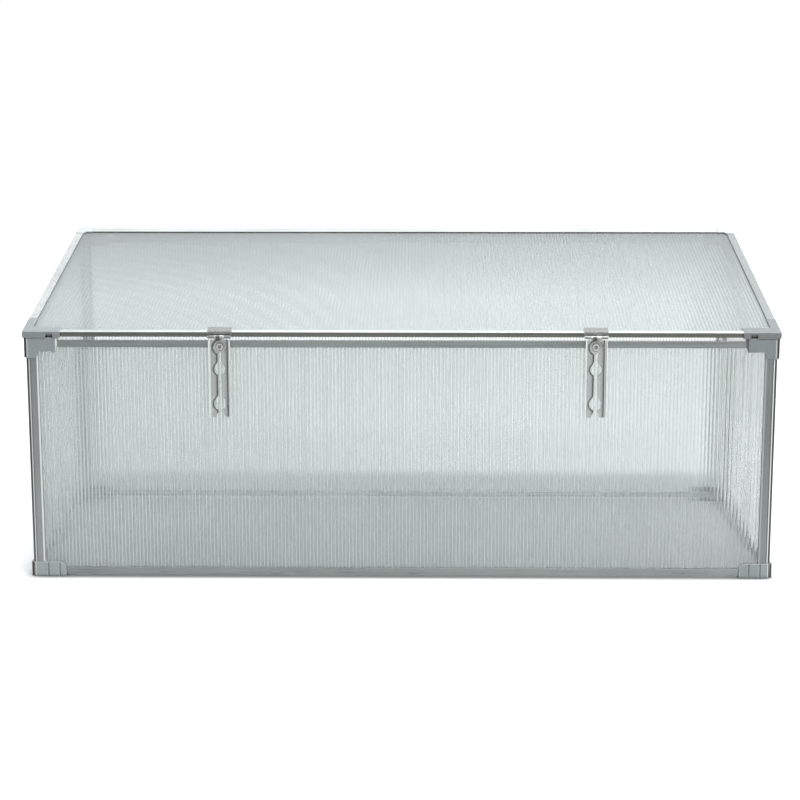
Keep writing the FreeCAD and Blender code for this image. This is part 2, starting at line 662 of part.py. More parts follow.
# one screw in each front lid corner: two solids from one body
screw = doc.addObject("Part::Cylinder", "screw_head_left")
screws = []
for name, sx in (("left", -1), ("right", 1)):
    head = screw if sx < 0 else doc.addObject("Part::Cylinder", "screw_head_right")
    head.Radius, head.Height = 2.0, 1.4
    shank = doc.addObject("Part::Cylinder", "screw_shank_" + name)
    shank.Radius, shank.Height = 1.25, 12.0
    x = (LID_W - 43.7) * sx
    for item, y in ((head, -reach + 4.6), (shank, -reach + 5.9)):
        item.Placement = FreeCAD.Placement(V(x.value, y.value, low.value + 2.1), FreeCAD.Rotation(V(1, 0, 0), -90))
        item.setExpression(".Placement.Base.x", x.text)
        item.setExpression(".Placement.Base.y", y.text)
        item.setExpression(".Placement.Base.z", (low + 2.1).text)
    cross = []
    for tag, wide, tall in (("a", 2.8, 0.6), ("b", 0.6, 2.8)):
        bar = doc.addObject("Part::Box", "screw_cross_%s_%s" % (tag, name))
        bar.Length, bar.Width, bar.Height = wide, 0.7, tall
        bar.Placement.Base = V(x.value - wide / 2, (-reach + 4.5).value, low.value + 2.1 - tall / 2)
        bar.setExpression(".Placement.Base.x", (x - wide / 2).text)
        bar.setExpression(".Placement.Base.y", (-reach + 4.5).text)
        bar.setExpression(".Placement.Base.z", (low + 2.1 - tall / 2).text)
        cross.append(bar)
    whole = doc.addObject("Part::MultiFuse", "screw_whole_" + name)
    whole.Shapes = [head, shank]
    tool = doc.addObject("Part::MultiFuse", "screw_cross_" + name)
    tool.Shapes = cross
    cut = doc.addObject("Part::Cut", "screw_" + name)
    cut.Base, cut.Tool = whole, tool
    screws.append(cut)
pair = doc.addObject("Part::Compound", "lid_corner_screws")
pair.Links = screws
pair.Label = "lid_corner_screws"
seat(pair, 0.0, HINGE_Y, HINGE_Z, SLOPE)
keep(pair)

# --------------------------------------------------------- stays and studs
PIVOT_V = -reach - 1.6 - 2.4
PIVOT_W = size(-1.5)
PIVOT_Y = HINGE_Y + PIVOT_V * COS - PIVOT_W * SIN
PIVOT_Z = HINGE_Z + PIVOT_V * SIN + PIVOT_W * COS
kr, pb = S["knuckle_radius"], S["pin_bore"]
for name, x_word in (("left", "stay_left_x"), ("right", "stay_right_x")):
    cx = S[x_word]
    # bracket: folded over the lid's front rail, with two knuckles below
    body = make_body("stay_bracket_" + name)
    sheet_up = top + 1.6
    pad(body, "YZ", cx - 20.0, cx + 20.0, loops=[[
        (-reach - 1.6, sheet_up), (-reach - 1.6, PIVOT_W - 0.9), (-reach, PIVOT_W - 0.9), (-reach, top),
        (-reach + 19.0, top), (-reach + 19.0, sheet_up)]])
    pocket(body, "XZ", -reach - 2.6, -reach + 0.5, loops=[rect(cx - 8.6, cx + 8.6, PIVOT_W - 3.0, size(2.2))])
    for a, b in ((-18.4, -8.6), (8.6, 18.4)):
        pad(body, "YZ", cx + a, cx + b, circles=[(PIVOT_V, PIVOT_W, kr)])
    pocket(body, "YZ", cx - 19.0, cx + 19.0, circles=[(PIVOT_V, PIVOT_W, pb)])
    on_lid(body)
    # pin with a small head at each end
    body = make_body("stay_pin_" + name)
    pad(body, "YZ", cx - 18.9, cx + 18.9, circles=[(size(0.0), size(0.0), S["pin_radius"])])
    for a, b in ((-19.9, -18.9), (18.9, 19.9)):
        pad(body, "YZ", cx + a, cx + b, circles=[(size(0.0), size(0.0), size(2.2))])
    seat(body, 0.0, PIVOT_Y, PIVOT_Z)
    keep(body)
    # stay: a channel strip with three teardrop keyholes joined by a slit
    body = make_body("stay_" + name)
    t, wide, f = S["stay_thick"], S["stay_wide"] / 2, S["stay_lip"]
    up = size(-4.6)
    key_z = stud_z - PIVOT_Z
    end = key_z - S["stay_end"]
    pad(body, "XY", end, up, loops=[[
        (cx - wide, -t / 2 - f), (cx - wide + t, -t / 2 - f), (cx - wide + t, -t / 2), (cx + wide - t, -t / 2),
        (cx + wide - t, -t / 2 - f), (cx + wide, -t / 2 - f), (cx + wide, t / 2), (cx - wide, t / 2)]])
    pad(body, "XZ", -t / 2, t / 2, loops=[rect(cx - 8.3, cx + 8.3, up - 0.6, size(0.0))])
    pad(body, "YZ", cx - 8.3, cx + 8.3, circles=[(size(0.0), size(0.0), kr)])
    pocket(body, "YZ", cx - 9.0, cx + 9.0, circles=[(size(0.0), size(0.0), pb)])
    half_slit = S["slit_wide"] / 2
    pocket(body, "XZ", -t, t, circles=[(cx, key_z, size(11.0))])
    pocket(body, "XZ", -t, t, loops=[rect(cx - half_slit, cx + half_slit, end - 1.0, key_z - 3.0)])
    for drop_word, r in (("key_mid", 9.6), ("key_low", 10.6)):
        kz = key_z - S[drop_word]
        pocket(body, "XZ", -t, t, circles=[(cx, kz, size(r))])
        pocket(body, "XZ", -t, t, loops=[[
            (cx - r * math.cos(0.75), kz + r * math.sin(0.75)), (cx - half_slit, kz + r * 1.32),
            (cx + half_slit, kz + r * 1.32), (cx + r * math.cos(0.75), kz + r * math.sin(0.75))]])
    pocket(body, "XZ", -t, t, loops=[[
        (cx - half_slit, end + 8.5), (cx - 8.2, end - 1.0), (cx + 8.2, end - 1.0), (cx + half_slit, end + 8.5)]])
    seat(body, 0.0, PIVOT_Y, PIVOT_Z)
    keep(body)

# studs: bolt through the rail's lower edge and the sheet, washers, thin nut
rail_front = FRONT_Y
rail_back = FRONT_Y + CHANNEL
parts = {"stay_stud_bolts": [], "stay_stud_washers": [], "stay_stud_nuts": []}


def turned(kind, label, x, y, z, **props):
    item = doc.addObject(kind, label)
    for key, val in props.items():
        setattr(item, key, val)
    item.Placement = FreeCAD.Placement(V(x.value, y.value, z.value), FreeCAD.Rotation(V(1, 0, 0), -90))
    item.setExpression(".Placement.Base.x", x.text)
    item.setExpression(".Placement.Base.y", y.text)
    item.setExpression(".Placement.Base.z", z.text)
    return item


for name, x_word in (("left", "stay_left_x"), ("right", "stay_right_x")):
    cx = S[x_word]
    r = S["stud_radius"].value
    shank = turned("Part::Cylinder", "stud_shank_" + name, cx, rail_front - 5.3, stud_z, Radius=r, Height=14.0)
    shank.setExpression("Radius", S["stud_radius"].text)
    shank.setExpression("Height", (CHANNEL + 5.3 + 1.3 + 1.0).text)
    head = doc.addObject("Part::Prism", "stud_head_" + name)
    head.Polygon, head.Circumradius, head.Height = 6, 5.77, 4.0
    y = rail_back + 1.3
    head.Placement = FreeCAD.Placement(V(cx.value, y.value, stud_z.value), FreeCAD.Rotation(V(1, 0, 0), -90))
    head.setExpression(".Placement.Base.x", cx.text)
    head.setExpression(".Placement.Base.y", y.text)
    head.setExpression(".Placement.Base.z", stud_z.text)
    bolt = doc.addObject("Part::MultiFuse", "stud_bolt_" + name)
    bolt.Shapes = [shank, head]
    parts["stay_stud_bolts"].append(bolt)
    for tag, y0, rad, thick in (("front", rail_front - 1.5, 10.5, 1.5), ("back", rail_back, 8.0, 1.3)):
        disc = turned("Part::Cylinder", "washer_disc_%s_%s" % (tag, name), cx, size(y0), stud_z, Radius=rad, Height=thick)
        hole = turned("Part::Cylinder", "washer_hole_%s_%s" % (tag, name), cx, size(y0) - 1.0, stud_z, Radius=3.2, Height=4.0)
        ring = doc.addObject("Part::Cut", "washer_%s_%s" % (tag, name))
        ring.Base, ring.Tool = disc, hole
        parts["stay_stud_washers"].append(ring)
    hexa = doc.addObject("Part::Prism", "nut_hex_" + name)
    hexa.Polygon, hexa.Circumradius, hexa.Height = 6, 6.1, 3.2
    y = rail_front - 4.7
    hexa.Placement = FreeCAD.Placement(V(cx.value, y.value, stud_z.value), FreeCAD.Rotation(V(1, 0, 0), -90))
    hexa.setExpression(".Placement.Base.x", cx.text)
    hexa.setExpression(".Placement.Base.y", y.text)
    hexa.setExpression(".Placement.Base.z", stud_z.text)
    bore = turned("Part::Cylinder", "nut_bore_" + name, cx, y - 1.0, stud_z, Radius=r, Height=6.0)
    bore.setExpression("Radius", S["stud_radius"].text)
    nut = doc.addObject("Part::Cut", "nut_" + name)
    nut.Base, nut.Tool = hexa, bore
    parts["stay_stud_nuts"].append(nut)
for label, links in parts.items():
    group = doc.addObject("Part::Compound", label)
    group.Links = links
    group.Label = label
    keep(group)

# ---------------------------------------------------------- check and write
doc.recompute()
bad = [o.Label for o in doc.Objects if "Invalid" in o.State or "Error" in o.State]
if bad:
    raise ValueError("failed objects: %s" % bad)
for node in nodes:
    shape = node.Shape
    if shape.isNull() or not shape.isValid() or not shape.Solids:
        raise ValueError("bad shape: %s" % node.Label)
os.makedirs("parts", exist_ok=True)
for node in nodes:
    node.Shape.exportStep(os.path.join("parts", node.Label + ".step"))
whole = Part.makeCompound([node.Shape for node in nodes])
bb = whole.BoundBox
print("nodes %d  x %.2f %.2f  y %.2f %.2f  z %.2f %.2f" % (
    len(nodes), bb.XMin, bb.XMax, bb.YMin, bb.YMax, bb.ZMin, bb.ZMax))
for node in nodes:
    print("%-26s solids %d  volume %.0f mm3" % (node.Label, len(node.Shape.Solids), node.Shape.Volume))
print("hinge y %.4f z %.4f  pivot y %.4f z %.4f  stud z %.4f slope %.4f" % (
    HINGE_Y.value, HINGE_Z.value, PIVOT_Y.value, PIVOT_Z.value, stud_z.value, SLOPE.value))
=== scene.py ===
import math
import bpy
from mathutils import Matrix, Vector


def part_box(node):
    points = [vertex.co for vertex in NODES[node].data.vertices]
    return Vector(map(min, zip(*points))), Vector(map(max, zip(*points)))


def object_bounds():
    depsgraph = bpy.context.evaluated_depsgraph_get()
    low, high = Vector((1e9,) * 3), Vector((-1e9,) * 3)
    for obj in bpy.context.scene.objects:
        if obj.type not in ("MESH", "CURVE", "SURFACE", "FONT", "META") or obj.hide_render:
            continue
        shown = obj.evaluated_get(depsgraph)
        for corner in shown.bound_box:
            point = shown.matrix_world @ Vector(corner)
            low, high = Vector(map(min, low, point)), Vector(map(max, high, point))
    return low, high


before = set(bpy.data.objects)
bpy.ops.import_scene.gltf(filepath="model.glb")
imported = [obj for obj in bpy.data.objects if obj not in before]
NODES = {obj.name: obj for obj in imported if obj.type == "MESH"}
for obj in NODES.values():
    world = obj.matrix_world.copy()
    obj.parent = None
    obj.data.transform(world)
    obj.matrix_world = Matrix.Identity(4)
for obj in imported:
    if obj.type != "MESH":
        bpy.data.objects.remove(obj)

cad_lo, cad_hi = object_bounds()
scene = bpy.context.scene

# ----------------------------------------------------------------- camera
cam_data = bpy.data.cameras.new("camera")
cam = bpy.data.objects.new("camera", cam_data)
scene.collection.objects.link(cam)
scene.camera = cam
cam_data.sensor_width = 36.0
cam_data.lens = 1929.69 * 36.0 / 800.0
cam_data.clip_start, cam_data.clip_end = 0.05, 200.0
PITCH, YAW, ROLL = math.radians(11.1475), math.radians(-0.7626), math.radians(0.0239)
fwd = Vector((math.sin(YAW) * math.cos(PITCH), math.cos(YAW) * math.cos(PITCH), -math.sin(PITCH)))
right = Vector((math.cos(YAW), -math.sin(YAW), 0.0))
down = fwd.cross(right)
right, down = right * math.cos(ROLL) + down * math.sin(ROLL), down * math.cos(ROLL) - right * math.sin(ROLL)
rot = Matrix((right, -down, -fwd)).transposed()
cam.matrix_world = Matrix.Translation((0.0404, -3.4142, 0.9248)) @ rot.to_4x4()


# --------------------------------------------------------------- node tools
class Graph:
    """A small wrapper that adds nodes and links in one call."""

    def __init__(self, tree):
        self.tree = tree
        self.n = tree.nodes
        self.n.clear()

    def put(self, socket, value):
        if isinstance(value, bpy.types.NodeSocket):
            self.tree.links.new(value, socket)
        elif value is not None:
            socket.default_value = value

    def add(self, kind, ins=None, **props):
        node = self.n.new(kind)
        for k, v in props.items():
            setattr(node, k, v)
        for k, v in (ins or {}).items():
            self.put(node.inputs[k], v)
        return node

    def math(self, op, a, b=None, c=None, clamp=False):
        node = self.add("ShaderNodeMath", operation=op, use_clamp=clamp)
        for i, v in enumerate((a, b, c)):
            if v is not None:
                self.put(node.inputs[i], v)
        return node.outputs[0]

    def mapped(self, vector, scale):
        return self.add("ShaderNodeMapping", {"Vector": vector, "Scale": scale}).outputs[0]

    def noise(self, vector, scale, detail=3.0, rough=0.55, distortion=0.0):
        return self.add("ShaderNodeTexNoise", {"Vector": vector, "Scale": scale, "Detail": detail,
                                               "Roughness": rough, "Distortion": distortion}).outputs[0]

    def ramp(self, fac, stops):
        node = self.add("ShaderNodeValToRGB", {"Fac": fac})
        els = node.color_ramp.elements
        while len(els) < len(stops):
            els.new(0.5)
        for e, (pos, col) in zip(els, stops):
            e.position = pos
            e.color = tuple(col) + (1.0,) if len(col) == 3 else col
        return node.outputs[0]

    def span(self, value, a, b, lo, hi):
        node = self.add("ShaderNodeMapRange", {"Value": value, "From Min": a, "From Max": b,
                                               "To Min": lo, "To Max": hi})
        return node.outputs[0]

    def mix_rgb(self, fac, a, b, mode="MIX"):
        node = self.add("ShaderNodeMix", data_type="RGBA", blend_type=mode)
        self.put(node.inputs[0], fac)
        self.put(node.inputs[6], a)
        self.put(node.inputs[7], b)
        return node.outputs[2]

    def mix_shader(self, fac, a, b):
        node = self.n.new("ShaderNodeMixShader")
        self.put(node.inputs[0], fac)
        self.tree.links.new(a, node.inputs[1])
        self.tree.links.new(b, node.inputs[2])
        return node.outputs[0]

    def out(self, surface):
        node = self.n.new("ShaderNodeOutputMaterial")
        self.tree.links.new(surface, node.inputs[0])


def material(name):
    mat = bpy.data.materials.new(name)
    mat.use_nodes = True
    return mat, Graph(mat.node_tree)


def rgb(r, g, b):
    return (r, g, b, 1.0)


# ------------------------------------------------------------- materials
def edge_mask(g, radius):
    """Rounded normal, and how far it leaves the true one near an edge."""
    bevel = g.add("ShaderNodeBevel", {"Radius": radius}, samples=3).outputs[0]
    true = g.add("ShaderNodeNewGeometry").outputs["True Normal"]
    dot = g.add("ShaderNodeVectorMath", {0: bevel, 1: true}, operation="DOT_PRODUCT").outputs["Value"]
    return bevel, g.span(dot, 0.998, 0.88, 0.0, 1.0)


def crevice_shade(g, base, distance, amount, local=True, dark=(0.20, 0.20, 0.19)):
    """Painted shade: darkens corners and the spots behind edges, found by ambient occlusion."""
    ao = g.add("ShaderNodeAmbientOcclusion", {"Distance": distance}, samples=4, only_local=local).outputs["AO"]
    fac = g.math("MULTIPLY", g.span(ao, 1.0, 0.45, 0.0, 1.0), amount)
    return g.mix_rgb(fac, base, g.mix_rgb(1.0, base, rgb(*dark), "MULTIPLY"))


def aluminium(name, axis, tone=(0.50, 0.535, 0.52), rough=0.30, edge=0.0006, shades=(), corner=None, lip_tone=0.97,
              edge_paint=(0.86, 0.88, 0.87), edge_paint_amount=0.5):
    """Mill-finish extrusion: die lines along one axis, faint oxide clouds,
    edges tinted by the edge colour argument: partly wear, partly a painted highlight where it is pale and a painted
    shade line where it is dark. shades paints shade on the faces that look one way, and corner paints shade and
    highlights across a post."""
    mat, g = material(name)
    tc = g.add("ShaderNodeTexCoord")
    obj = tc.outputs["Object"]
    stretch = {"x": (6.0, 1500.0, 1500.0), "y": (1500.0, 6.0, 1500.0), "z": (1500.0, 1500.0, 6.0)}[axis]
    wide = {"x": (3.0, 380.0, 380.0), "y": (380.0, 3.0, 380.0), "z": (380.0, 380.0, 3.0)}[axis]
    fine = g.noise(g.mapped(obj, stretch), 1.0, 2.0, 0.6)
    broad = g.noise(g.mapped(obj, wide), 1.0, 3.0, 0.6)
    cloud = g.noise(obj, 9.0, 4.0, 0.6)
    speck = g.noise(obj, 260.0, 2.0, 0.7)
    base = g.ramp(cloud, [(0.25, tuple(c * 0.90 for c in tone)), (0.75, tuple(min(1, c * 1.07) for c in tone))])
    lines = g.ramp(broad, [(0.3, (0.88, 0.885, 0.885)), (0.7, (1.0, 1.0, 1.0))])
    base = g.mix_rgb(1.0, base, lines, "MULTIPLY")
    dull = g.ramp(speck, [(0.52, (1.0, 1.0, 1.0)), (0.8, (0.90, 0.91, 0.90))])
    base = g.mix_rgb(0.35, base, dull, "MULTIPLY")
    # painted shade: faces that look along each given direction are darkened by its tint
    for towards, amount, tint in shades:
        look = g.add("ShaderNodeVectorMath", {0: tc.outputs["Normal"], 1: towards}, operation="DOT_PRODUCT").outputs["Value"]
        fac = g.math("MULTIPLY", g.span(look, 0.80, 0.93, 0.0, 1.0), amount)
        base = g.mix_rgb(fac, base, g.mix_rgb(1.0, base, rgb(*tint), "MULTIPLY"))
    highlight_bands = 0.0
    if corner:
        # across a post: painted shade in the recess at the corner, a painted highlight on the nose, a painted shade
        # line at the seam, the face, and a painted highlight on the lip; the highlight bands are made less metallic so
        # they read bright
        where = g.add("ShaderNodeSeparateXYZ", {"Vector": obj})
        look = g.add("ShaderNodeSeparateXYZ", {"Vector": tc.outputs["Normal"]})
        du = g.math("SUBTRACT", corner[0], g.math("ABSOLUTE", where.outputs[0]))
        dv = g.math("SUBTRACT", corner[1], g.math("ABSOLUTE", where.outputs[1]))
        sideways = g.math("GREATER_THAN", g.math("ABSOLUTE", look.outputs[0]), g.math("ABSOLUTE", look.outputs[1]))
        d = g.math("MULTIPLY_ADD", sideways, g.math("SUBTRACT", dv, du), du)
        base = g.mix_rgb(g.span(d, 0.0042, 0.0038, 0.0, 1.0), base, g.mix_rgb(1.0, base, rgb(0.40, 0.395, 0.375), "MULTIPLY"))
        nose = g.math("MULTIPLY", g.span(d, 0.0040, 0.0042, 0.0, 1.0), g.span(d, 0.0069, 0.0066, 0.0, 1.0))
        seam = g.math("MULTIPLY", g.span(d, 0.0067, 0.0070, 0.0, 1.0), g.span(d, 0.0092, 0.0086, 0.0, 1.0))
        base = g.mix_rgb(g.math("MULTIPLY", seam, 0.75), base, g.mix_rgb(1.0, base, rgb(0.5, 0.5, 0.48), "MULTIPLY"))
        lip = g.span(d, corner[2] - 0.0030, corner[2] - 0.0024, 0.0, 1.0)
        base = g.mix_rgb(lip, base, rgb(lip_tone, lip_tone * 1.01, lip_tone))
        base = g.mix_rgb(nose, base, rgb(0.97, 0.98, 0.97))
        highlight_bands = g.math("MAXIMUM", nose, g.math("MULTIPLY", lip, min(1.0, lip_tone)))
    # painted shade in corners and behind edges
    base = crevice_shade(g, base, 0.004, 0.6)
    bevel, edge_band = edge_mask(g, edge)
    # edges tinted: partly wear, partly a painted highlight where the colour is pale and a painted shade line where it
    # is dark
    base = g.mix_rgb(g.math("MULTIPLY", edge_band, edge_paint_amount), base, rgb(*edge_paint))
    height = g.math("ADD", g.math("MULTIPLY", fine, 0.5), g.math("MULTIPLY", broad, 0.9))
    bump = g.add("ShaderNodeBump", {"Strength": 0.16, "Distance": 0.00012, "Height": height, "Normal": bevel})
    shader = g.add("ShaderNodeBsdfPrincipled", {
        "Base Color": base, "Metallic": g.math("MULTIPLY_ADD", highlight_bands, -0.75, 0.90),
        "Roughness": g.math("ADD", g.span(broad, 0.3, 0.7, rough - 0.06, rough + 0.06),
                            g.span(cloud, 0.3, 0.7, -0.02, 0.03)),
        "Normal": bump.outputs[0]})
    g.out(shader.outputs[0])
    return mat


def moulded(name, tone, rough=0.42, gloss=0.45, wear_and_highlight_tone=(0.80, 0.83, 0.84), corner=None, end=None):
    """Moulded plastic: fine spark-eroded grain, faint flow mottling, dust,
    and edges lightened: partly rubbed wear, partly a painted highlight."""
    mat, g = material(name)
    obj = g.add("ShaderNodeTexCoord").outputs["Object"]
    grain = g.noise(obj, 2600.0, 3.0, 0.7)
    flow = g.noise(g.mapped(obj, (40.0, 40.0, 18.0)), 1.0, 4.0, 0.6, 0.6)
    dust = g.noise(obj, 150.0, 4.0, 0.7)
    base = g.ramp(flow, [(0.25, tuple(c * 0.92 for c in tone)), (0.75, tuple(c * 1.08 for c in tone))])
    dusty = g.ramp(dust, [(0.5, (0.0, 0.0, 0.0)), (0.85, (1.0, 1.0, 1.0))])
    base = g.mix_rgb(g.math("MULTIPLY", dusty, 0.14), base, rgb(0.66, 0.67, 0.66))
    if corner:
        # painted shade on the step that runs down the outer corner, with a painted highlight along the rim beside it
        where = g.add("ShaderNodeSeparateXYZ", {"Vector": obj})
        du = g.math("SUBTRACT", corner[0], g.math("ABSOLUTE", where.outputs[0]))
        dv = g.math("SUBTRACT", corner[1], g.math("ABSOLUTE", where.outputs[1]))
        look = g.add("ShaderNodeSeparateXYZ", {"Vector": g.add("ShaderNodeTexCoord").outputs["Normal"]})
        sideways = g.math("GREATER_THAN", g.math("ABSOLUTE", look.outputs[0]), g.math("ABSOLUTE", look.outputs[1]))
        d = g.math("MULTIPLY_ADD", sideways, g.math("SUBTRACT", dv, du), du)
        base = g.mix_rgb(g.span(d, corner[2], corner[2] - 0.0004, 0.0, 1.0), base,
                         g.mix_rgb(1.0, base, rgb(0.30, 0.29, 0.27), "MULTIPLY"))
        rim = g.math("MULTIPLY", g.span(d, corner[2], corner[2] + 0.0003, 0.0, 1.0),
                     g.span(d, corner[2] + 0.0016, corner[2] + 0.0013, 0.0, 1.0))
        base = g.mix_rgb(g.math("MULTIPLY", rim, 0.7), base, rgb(*wear_and_highlight_tone))
        if end:
            # the last of the arm: a painted highlight on the left caps, painted shade on the right caps
            near = g.span(where.outputs[0], end[0], end[1], 0.0, 1.0)
            base = g.mix_rgb(near, base, rgb(*end[2]))
    # painted shade in corners and behind edges, other parts included
    base = crevice_shade(g, base, 0.005, 0.9, False)
    bevel, edge_band = edge_mask(g, 0.0013)
    # edges lightened: partly wear, partly a painted highlight
    base = g.mix_rgb(g.math("MULTIPLY", edge_band, 0.85), base, rgb(*wear_and_highlight_tone))
    bump = g.add("ShaderNodeBump", {"Strength": 0.2, "Distance": 0.00015, "Height": grain, "Normal": bevel})
    shader = g.add("ShaderNodeBsdfPrincipled", {
        "Base Color": base, "Roughness": g.span(grain, 0.3, 0.7, rough - 0.05, rough + 0.08),
        "Specular IOR Level": gloss, "Normal": bump.outputs[0]})
    g.out(shader.outputs[0])
    return mat


def pressed(name, tone=(0.60, 0.62, 0.605), rough=0.26, channel=None):
    """Pressed sheet strip: rolled surface, scuffs from sliding; without channel its edges are lightened, partly wear,
    partly a painted highlight.
    channel gives the strip's left and right sides, its rim, its slit width and its holes, and lays painted shade and
    painted highlights along the cut edges, the flanges and the rim."""
    mat, g = material(name)
    tc = g.add("ShaderNodeTexCoord")
    obj = tc.outputs["Object"]
    roll = g.noise(g.mapped(obj, (900.0, 900.0, 14.0)), 1.0, 3.0, 0.6)
    scuff = g.noise(g.mapped(obj, (260.0, 260.0, 60.0)), 1.0, 5.0, 0.75, 1.2)
    base = g.ramp(roll, [(0.3, tuple(c * 0.9 for c in tone)), (0.7, tuple(min(1, c * 1.08) for c in tone))])
    marks = g.ramp(scuff, [(0.55, (0.0, 0.0, 0.0)), (0.75, (1.0, 1.0, 1.0))])
    base = g.mix_rgb(g.math("MULTIPLY", marks, 0.25), base, rgb(0.74, 0.75, 0.74))
    # painted shade in corners and behind edges
    base = crevice_shade(g, base, 0.006, 0.7, True, (0.25, 0.25, 0.23))
    bevel, edge_band = edge_mask(g, 0.0005 if channel else 0.0008)
    metal = 0.85
    if channel:
        # a painted highlight on one side of each cut edge and painted shade along the other
        lean = g.add("ShaderNodeSeparateXYZ", {"Vector": bevel}).outputs[0]
        face = g.math("ABSOLUTE", g.add("ShaderNodeSeparateXYZ", {"Vector": tc.outputs["Normal"]}).outputs[1])
        face = g.math("GREATER_THAN", face, 0.8)
        shade_mask = g.math("MULTIPLY", g.span(lean, 0.03, 0.18, 0.0, 1.0), face)
        highlight_mask = g.math("MULTIPLY", g.span(lean, -0.03, -0.20, 0.0, 1.0), face)
        at = g.add("ShaderNodeSeparateXYZ", {"Vector": obj})
        left, right, rim_y, slit, holes = channel
        # the punched edges get painted shade on their left, and on their right a painted highlight with a thin painted
        # shade line right at the edge
        mid = (left + right) / 2
        off = g.math("SUBTRACT", at.outputs[0], mid)
        gap = g.math("SUBTRACT", g.math("ABSOLUTE", off), slit / 2)
        for high, r in holes:
            dz = g.math("SUBTRACT", at.outputs[2], high)
            dist = g.math("SQRT", g.math("ADD", g.math("MULTIPLY", off, off), g.math("MULTIPLY", dz, dz)))
            gap = g.math("MINIMUM", gap, g.math("SUBTRACT", dist, r))
        on_left = g.math("LESS_THAN", off, 0.0015)
        left_edge_shade = g.math("MULTIPLY", g.span(gap, 0.0030, 0.0020, 0.0, 1.0), on_left)
        shade_mask = g.math("MAXIMUM", shade_mask, g.math("MULTIPLY", left_edge_shade, face))
        right_edge_highlight = g.math("MULTIPLY", g.span(gap, 0.0022, 0.0014, 0.0, 1.0), g.math("SUBTRACT", 1.0, on_left))
        highlight_mask = g.math("MAXIMUM", g.math("MULTIPLY", highlight_mask, 0.3), g.math("MULTIPLY", g.math("MULTIPLY", right_edge_highlight, face), 0.35))
        thin = g.math("MULTIPLY", g.span(gap, 0.0014, 0.0008, 0.0, 0.55), g.math("SUBTRACT", 1.0, on_left))
        shade_mask = g.math("MAXIMUM", shade_mask, g.math("MULTIPLY", thin, face))
        # painted shadow of the right flange on the web, a band just left of it
        flange_shadow = g.math("MULTIPLY", g.span(at.outputs[0], right - 0.0075, right - 0.0050, 0.0, 1.0), face)
        shade_mask = g.math("MAXIMUM", shade_mask, flange_shadow)
        # painted shading across each half of the strip: lighter on its left, darker on its right
        half = g.math("SUBTRACT", at.outputs[0], g.math("MULTIPLY_ADD", g.math("GREATER_THAN", at.outputs[0], mid), mid - left, left))
        half_shading = g.span(half, 0.15 * (mid - left), 0.92 * (mid - left), 1.30, 0.66)
        half_shading = g.add("ShaderNodeCombineColor", {0: half_shading, 1: half_shading, 2: half_shading}).outputs[0]
        base = g.mix_rgb(1.0, base, half_shading, "MULTIPLY")
        # painted highlight, then painted shade, laid into the colour
        base = g.mix_rgb(g.math("MULTIPLY", highlight_mask, 0.7), base, rgb(0.93, 0.97, 0.95))
        base = g.mix_rgb(g.math("MULTIPLY", shade_mask, 0.85), base, g.mix_rgb(1.0, base, rgb(0.20, 0.20, 0.17), "MULTIPLY"))
        # painted highlight: the flange front rims and the flange faces are made pale and less metallic
        rim = g.math("LESS_THAN", at.outputs[1], rim_y + 0.0012)
        bent = g.math("MAXIMUM", g.math("LESS_THAN", at.outputs[0], left + 0.0030),
                      g.math("GREATER_THAN", at.outputs[0], right - 0.0040))
        rim = g.math("MAXIMUM", rim, g.math("MULTIPLY", bent, face))
        base = g.mix_rgb(rim, base, rgb(0.95, 0.99, 0.97))
        metal = g.math("MULTIPLY_ADD", rim, -0.7, 0.85)
    else:
        # edges lightened: partly wear, partly a painted highlight
        base = g.mix_rgb(g.math("MULTIPLY", edge_band, 0.8), base, rgb(0.92, 0.93, 0.92))
    bump = g.add("ShaderNodeBump", {"Strength": 0.15, "Distance": 0.0001, "Height": scuff, "Normal": bevel})
    shader = g.add("ShaderNodeBsdfPrincipled", {
        "Base Color": base, "Metallic": metal,
        "Roughness": g.span(scuff, 0.3, 0.7, rough - 0.05, rough + 0.12), "Normal": bump.outputs[0]})
    g.out(shader.outputs[0])
    return mat


def plated(name, tone=(0.80, 0.80, 0.78), outline=0.0, reach=0.0006, metal=0.75):
    """Zinc plate: bright, with faint crystalline patches."""
    mat, g = material(name)
    obj = g.add("ShaderNodeTexCoord").outputs["Object"]
    cell = g.add("ShaderNodeTexVoronoi", {"Vector": obj, "Scale": 900.0}).outputs["Color"]
    cloud = g.noise(obj, 350.0, 3.0, 0.6)
    patch = g.add("ShaderNodeRGBToBW", {"Color": cell}).outputs[0]
    base = g.ramp(patch, [(0.0, tuple(c * 0.86 for c in tone)), (1.0, tone)])
    base = g.mix_rgb(g.math("MULTIPLY", cloud, 0.2), base, rgb(0.66, 0.67, 0.70))
    # painted shade in corners and behind edges, other parts included
    base = crevice_shade(g, base, 0.004, 1.0, False, (0.12, 0.12, 0.11))
    bevel, edge_band = edge_mask(g, reach)
    # painted shade: a dark outline along the edges, outline sets how strong
    base = g.mix_rgb(g.math("MULTIPLY", edge_band, outline), base, rgb(0.08, 0.08, 0.075))
    shader = g.add("ShaderNodeBsdfPrincipled", {
        "Base Color": base, "Metallic": metal, "Roughness": g.span(cloud, 0.3, 0.7, 0.2, 0.34),
        "Normal": bevel})
    g.out(shader.outputs[0])
    return mat


